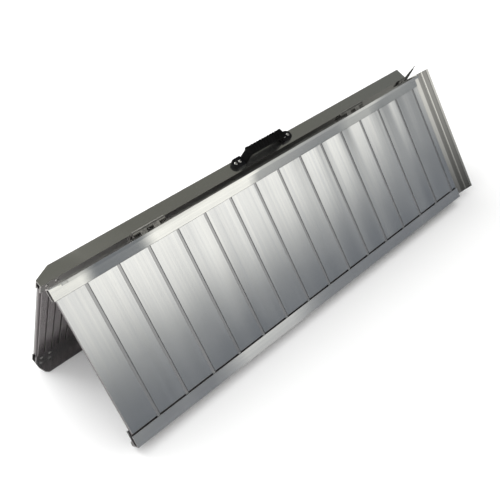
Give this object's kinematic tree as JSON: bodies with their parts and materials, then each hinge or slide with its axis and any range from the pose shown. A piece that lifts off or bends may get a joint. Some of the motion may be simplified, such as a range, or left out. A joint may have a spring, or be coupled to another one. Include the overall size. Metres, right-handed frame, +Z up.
{
  "type": "folding wheelchair ramp",
  "caption": "Single-fold aluminium wheelchair ramp with kerbed rails, hollow cross planks, bent landing lips and a flexible carrying handle, half open.",
  "frame": {"origin": "centre of the footprint on the surface that the kerb edges stand on", "axes": "+Z up; +X along the ramp from the ground end to the lip end; the fold line runs along X at the top, the rear half with the handle at +Y and the front half at -Y"},
  "size_m": [1.2876, 0.4104, 0.3941],
  "materials": {
    "plank_aluminium": "mill-finish extruded aluminium, grain along each plank",
    "rail_aluminium": "mill-finish extruded aluminium, grain along the rail",
    "lip_aluminium": "mill-finish extruded aluminium, grain across the ramp",
    "hinge_steel": "zinc-plated steel",
    "rivet_steel": "satin steel rivet heads",
    "handle_plastic": "moulded black plastic end caps",
    "grip_rubber": "ribbed black rubber grip",
    "band_rubber": "spring band in smooth black rubber"
  },
  "bodies": {
    "rear_half": {"centre_rail_rear": "rail_aluminium", "end_bar_rear": "plank_aluminium", "handle_band": "band_rubber", "handle_cap_ground": "handle_plastic", "handle_cap_lip": "handle_plastic", "handle_grip": "grip_rubber", "handle_rivets": "rivet_steel", "hinge_leaf_rear_ground": "hinge_steel", "hinge_leaf_rear_lip": "hinge_steel", "hinge_pin_ground": "hinge_steel", "hinge_pin_lip": "hinge_steel", "hinge_rivets_rear": "rivet_steel", "kerb_rail_rear": "rail_aluminium", "lip_rear": "lip_aluminium", "lip_rivets_rear": "rivet_steel", "plank_rear_01": "plank_aluminium", "plank_rear_02": "plank_aluminium", "plank_rear_03": "plank_aluminium", "plank_rear_04": "plank_aluminium", "plank_rear_05": "plank_aluminium", "plank_rear_06": "plank_aluminium", "plank_rear_07": "plank_aluminium", "plank_rear_08": "plank_aluminium", "plank_rear_09": "plank_aluminium", "plank_rear_10": "plank_aluminium", "plank_rear_11": "plank_aluminium", "plank_rear_12": "plank_aluminium", "plank_rear_13": "plank_aluminium", "plank_rear_14": "plank_aluminium", "plank_rear_15": "plank_aluminium", "rail_rivets_rear": "rivet_steel"},
    "front_half": {"centre_rail_front": "rail_aluminium", "end_bar_front": "plank_aluminium", "hinge_leaf_front_ground": "hinge_steel", "hinge_leaf_front_lip": "hinge_steel", "hinge_rivets_front": "rivet_steel", "kerb_rail_front": "rail_aluminium", "lip_front": "lip_aluminium", "lip_rivets_front": "rivet_steel", "plank_front_01": "plank_aluminium", "plank_front_02": "plank_aluminium", "plank_front_03": "plank_aluminium", "plank_front_04": "plank_aluminium", "plank_front_05": "plank_aluminium", "plank_front_06": "plank_aluminium", "plank_front_07": "plank_aluminium", "plank_front_08": "plank_aluminium", "plank_front_09": "plank_aluminium", "plank_front_10": "plank_aluminium", "plank_front_11": "plank_aluminium", "plank_front_12": "plank_aluminium", "plank_front_13": "plank_aluminium", "plank_front_14": "plank_aluminium", "plank_front_15": "plank_aluminium", "rail_rivets_front": "rivet_steel"}
  },
  "joints": [
    {"name": "fold", "type": "hinge", "parent": "rear_half", "child": "front_half", "pos_m": [0, 0, 0.34769], "axis": [-1, 0, 0], "range_deg": [-49.3, 121.66], "deforming": ["handle_band", "handle_grip"]}
  ]
}
